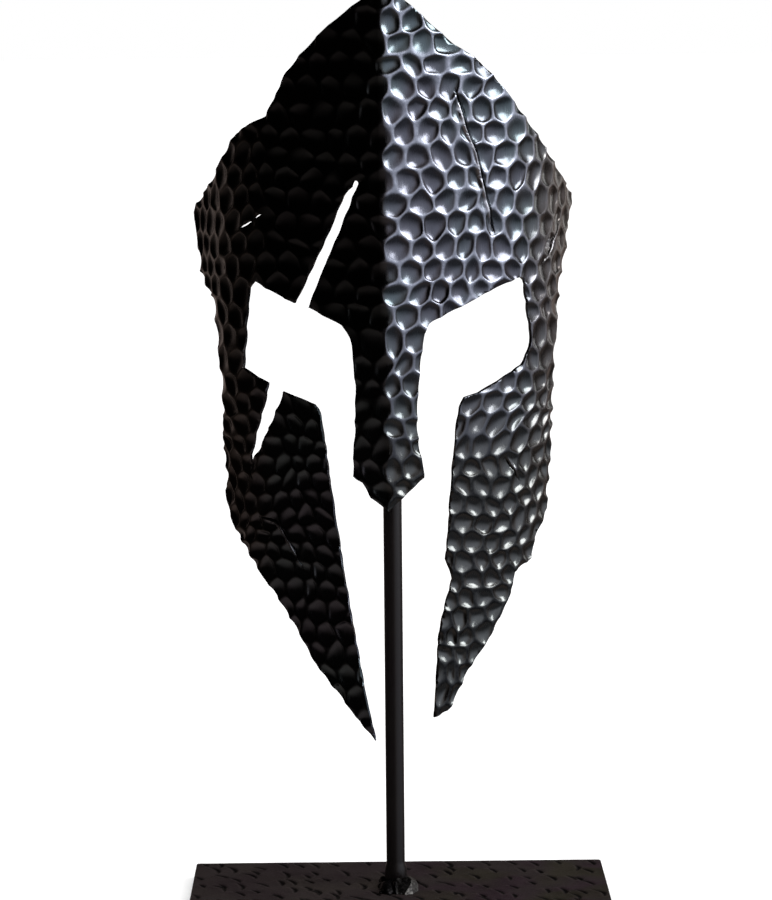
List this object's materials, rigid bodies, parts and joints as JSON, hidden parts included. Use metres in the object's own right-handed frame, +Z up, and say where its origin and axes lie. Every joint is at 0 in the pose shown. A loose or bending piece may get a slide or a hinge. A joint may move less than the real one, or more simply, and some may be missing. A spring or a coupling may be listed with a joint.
{
  "type": "hoplite helmet mask on a display stand",
  "caption": "Hammered sheet steel hoplite helmet mask with a T-shaped face opening and battle slash, on a round post and rectangular plate.",
  "frame": {"origin": "centre of the base plate's underside, where the stand rests", "axes": "+Z up, the face looks along -Y, +X to the viewer's right"},
  "size_m": [0.225, 0.1533, 0.494],
  "materials": {
    "hammered_steel": "hammered, blackened and lacquered, glossy, bright on the ridges between the dents",
    "stand_paint": "black enamel, satin, over a smooth bar and a hammered plate",
    "weld_metal": "weld bead, blackened, semi-gloss"
  },
  "bodies": {
    "root": {"helmet_shell": "hammered_steel", "post": "stand_paint", "base_plate": "stand_paint", "foot_weld": "weld_metal", "shell_weld": "weld_metal"}
  },
  "joints": []
}
